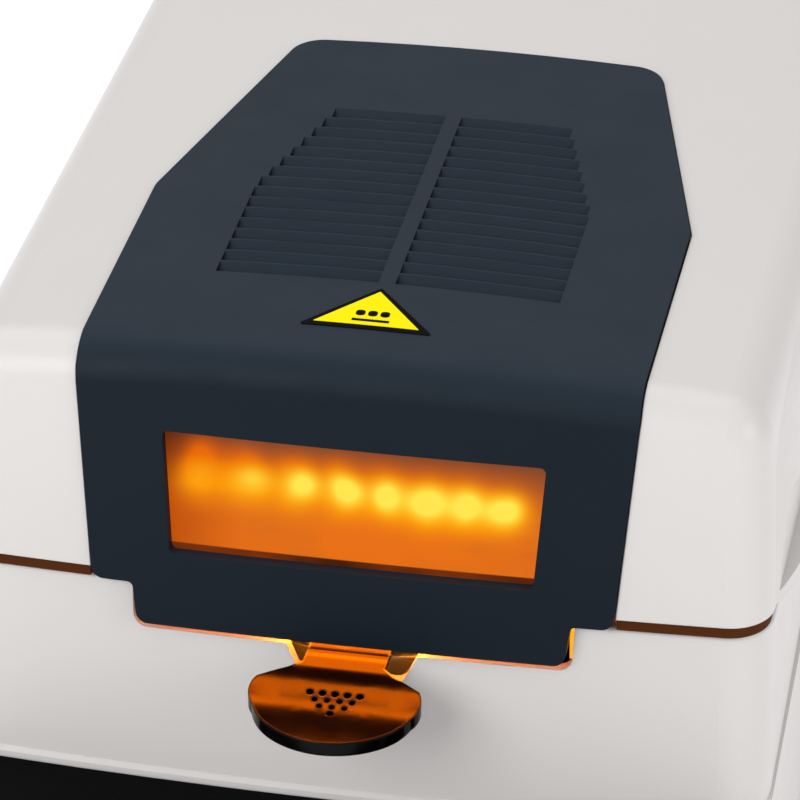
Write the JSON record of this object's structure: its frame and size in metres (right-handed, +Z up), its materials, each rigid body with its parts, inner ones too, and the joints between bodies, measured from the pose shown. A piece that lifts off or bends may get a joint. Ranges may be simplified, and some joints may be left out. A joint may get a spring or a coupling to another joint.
{
  "type": "moisture analyser",
  "caption": "Tabletop heated drying balance: hinged lid with vented dark cover, glowing window and heater tubes, lift-out pan holder, sloping console.",
  "frame": {"origin": "bottom centre of the whole instrument, on the table", "axes": "+Z up, front towards -Y, +X to the right seen from the front"},
  "size_m": [0.2072, 0.336, 0.158],
  "materials": {
    "white_housing": "fine satin moulding",
    "dark_cover": "satin, dark blue grey",
    "black_console": "fine texture",
    "black_handle": "satin black",
    "key_rubber": "soft touch",
    "foot_rubber": "matt",
    "seal_rubber": "silicone",
    "tinted_glass": "heat-tinted pane",
    "clear_glass": "polished",
    "quartz": "clear quartz",
    "hot_coil": "glowing wire",
    "label_yellow": "printed film",
    "steel": "brushed sheet",
    "bright_reflector": "bright rolled sheet",
    "aluminium": "satin",
    "pan_foil": "pressed foil",
    "ceramic_socket": "unglazed",
    "grey_tray": "powder coat",
    "board_green": "lacquered laminate",
    "part_black": "moulded",
    "zinc_screw": "zinc",
    "brass_pin": "plated",
    "seal_brown": "moulded silicone",
    "lcd_grey": "reflective display",
    "level_fluid": "tinted fluid",
    "level_air": "air bubble"
  },
  "bodies": {
    "base": {"base_housing": "white_housing", "console_panel": "black_console", "display_lens": "clear_glass", "display_module": "lcd_grey", "key_board": "board_green", "level_ring": "black_console", "level_vial": "level_fluid", "level_bubble": "level_air", "base_tray": "grey_tray", "base_screws": "zinc_screw", "front_feet": "foot_rubber", "rear_panel": "grey_tray", "power_inlet": "part_black", "inlet_blades": "brass_pin", "switch_frame": "part_black", "data_port": "steel", "hinge_brackets": "steel", "hinge_pins": "steel", "chamber_tray": "steel", "draft_shield": "aluminium", "pan_support": "steel", "load_cell": "aluminium", "load_cell_bracket": "aluminium", "main_board": "board_green", "board_chips": "part_black", "power_board": "board_green", "power_parts": "part_black"},
    "lid": {"lid_shell": "white_housing", "lid_cover": "dark_cover", "window_pane": "tinted_glass", "window_gasket": "seal_rubber", "triangle_sticker": "label_yellow", "lid_seal": "seal_brown", "lid_liner": "steel", "guard_glass": "clear_glass", "heater_reflector": "bright_reflector", "front_heater_tube": "quartz", "rear_heater_tube": "quartz", "heater_coils": "hot_coil", "lamp_sockets": "ceramic_socket", "temperature_sensor": "steel", "lid_screws": "zinc_screw"},
    "sample_pan": {"sample_pan": "pan_foil"},
    "pan_lifter": {"pan_lifter": "black_handle"},
    "power_rocker": {"power_rocker": "part_black"},
    "fuse_drawer": {"fuse_drawer": "part_black"},
    "level_pad_left": {"level_pad_left": "foot_rubber"},
    "level_pad_right": {"level_pad_right": "foot_rubber"},
    "level_wheel_left": {"level_wheel_left": "part_black"},
    "level_wheel_right": {"level_wheel_right": "part_black"},
    "power_key": {"power_key": "key_rubber"},
    "print_key": {"print_key": "key_rubber"},
    "menu_key": {"menu_key": "key_rubber"},
    "confirm_key": {"confirm_key": "key_rubber"},
    "start_key": {"start_key": "key_rubber"},
    "tare_key": {"tare_key": "key_rubber"},
    "up_key": {"up_key": "key_rubber"},
    "down_key": {"down_key": "key_rubber"},
    "left_key": {"left_key": "key_rubber"},
    "right_key": {"right_key": "key_rubber"}
  },
  "joints": [
    {"name": "lid_hinge", "type": "hinge", "parent": "base", "child": "lid", "pos_m": [0, 0.1615, 0.102], "axis": [-1, 0, 0], "range_deg": [0, 65]},
    {"name": "lifter_lift", "type": "slide", "parent": "base", "child": "pan_lifter", "axis": [0, 0, 1], "range_m": [0, 0.0012]},
    {"name": "pan_lift_off", "type": "slide", "parent": "pan_lifter", "child": "sample_pan", "axis": [0, 0, 1], "range_m": [0, 0.009]},
    {"name": "rocker_tilt", "type": "hinge", "parent": "base", "child": "power_rocker", "pos_m": [-0.0015, 0.1645, 0.042], "axis": [-1, 0, 0], "range_deg": [0, 13]},
    {"name": "fuse_drawer_slide", "type": "slide", "parent": "base", "child": "fuse_drawer", "axis": [0, 1, 0], "range_m": [0, 0.012]},
    {"name": "power_key_press", "type": "slide", "parent": "base", "child": "power_key", "axis": [0, 0.1825, -0.9832], "range_m": [0, 0.0007], "stiffness_N_per_m": 1200},
    {"name": "print_key_press", "type": "slide", "parent": "base", "child": "print_key", "axis": [0, 0.1825, -0.9832], "range_m": [0, 0.0007], "stiffness_N_per_m": 1200},
    {"name": "menu_key_press", "type": "slide", "parent": "base", "child": "menu_key", "axis": [0, 0.1825, -0.9832], "range_m": [0, 0.0007], "stiffness_N_per_m": 1200},
    {"name": "confirm_key_press", "type": "slide", "parent": "base", "child": "confirm_key", "axis": [0, 0.1825, -0.9832], "range_m": [0, 0.0007], "stiffness_N_per_m": 1200},
    {"name": "start_key_press", "type": "slide", "parent": "base", "child": "start_key", "axis": [0, 0.1825, -0.9832], "range_m": [0, 0.0007], "stiffness_N_per_m": 1200},
    {"name": "tare_key_press", "type": "slide", "parent": "base", "child": "tare_key", "axis": [0, 0.1825, -0.9832], "range_m": [0, 0.0007], "stiffness_N_per_m": 1200},
    {"name": "up_key_press", "type": "slide", "parent": "base", "child": "up_key", "axis": [0, 0.1825, -0.9832], "range_m": [0, 0.0007], "stiffness_N_per_m": 1200},
    {"name": "down_key_press", "type": "slide", "parent": "base", "child": "down_key", "axis": [0, 0.1825, -0.9832], "range_m": [0, 0.0007], "stiffness_N_per_m": 1200},
    {"name": "left_key_press", "type": "slide", "parent": "base", "child": "left_key", "axis": [0, 0.1825, -0.9832], "range_m": [0, 0.0007], "stiffness_N_per_m": 1200},
    {"name": "right_key_press", "type": "slide", "parent": "base", "child": "right_key", "axis": [0, 0.1825, -0.9832], "range_m": [0, 0.0007], "stiffness_N_per_m": 1200},
    {"name": "level_left_travel", "type": "slide", "parent": "base", "child": "level_pad_left", "axis": [0, 0, -1], "range_m": [0, 0.004]},
    {"name": "level_left_turn", "type": "hinge", "parent": "level_pad_left", "child": "level_wheel_left", "pos_m": [-0.078, 0.146, 0.003], "axis": [0, 0, -1], "range_deg": [0, 1441]},
    {"name": "level_right_travel", "type": "slide", "parent": "base", "child": "level_pad_right", "axis": [0, 0, -1], "range_m": [0, 0.004]},
    {"name": "level_right_turn", "type": "hinge", "parent": "level_pad_right", "child": "level_wheel_right", "pos_m": [0.078, 0.146, 0.003], "axis": [0, 0, -1], "range_deg": [0, 1441]}
  ],
  "couplings": [
    {"joint": "level_left_turn", "follows": "level_left_travel", "rad_per_m": 6283.2},
    {"joint": "level_right_turn", "follows": "level_right_travel", "rad_per_m": 6283.2}
  ]
}
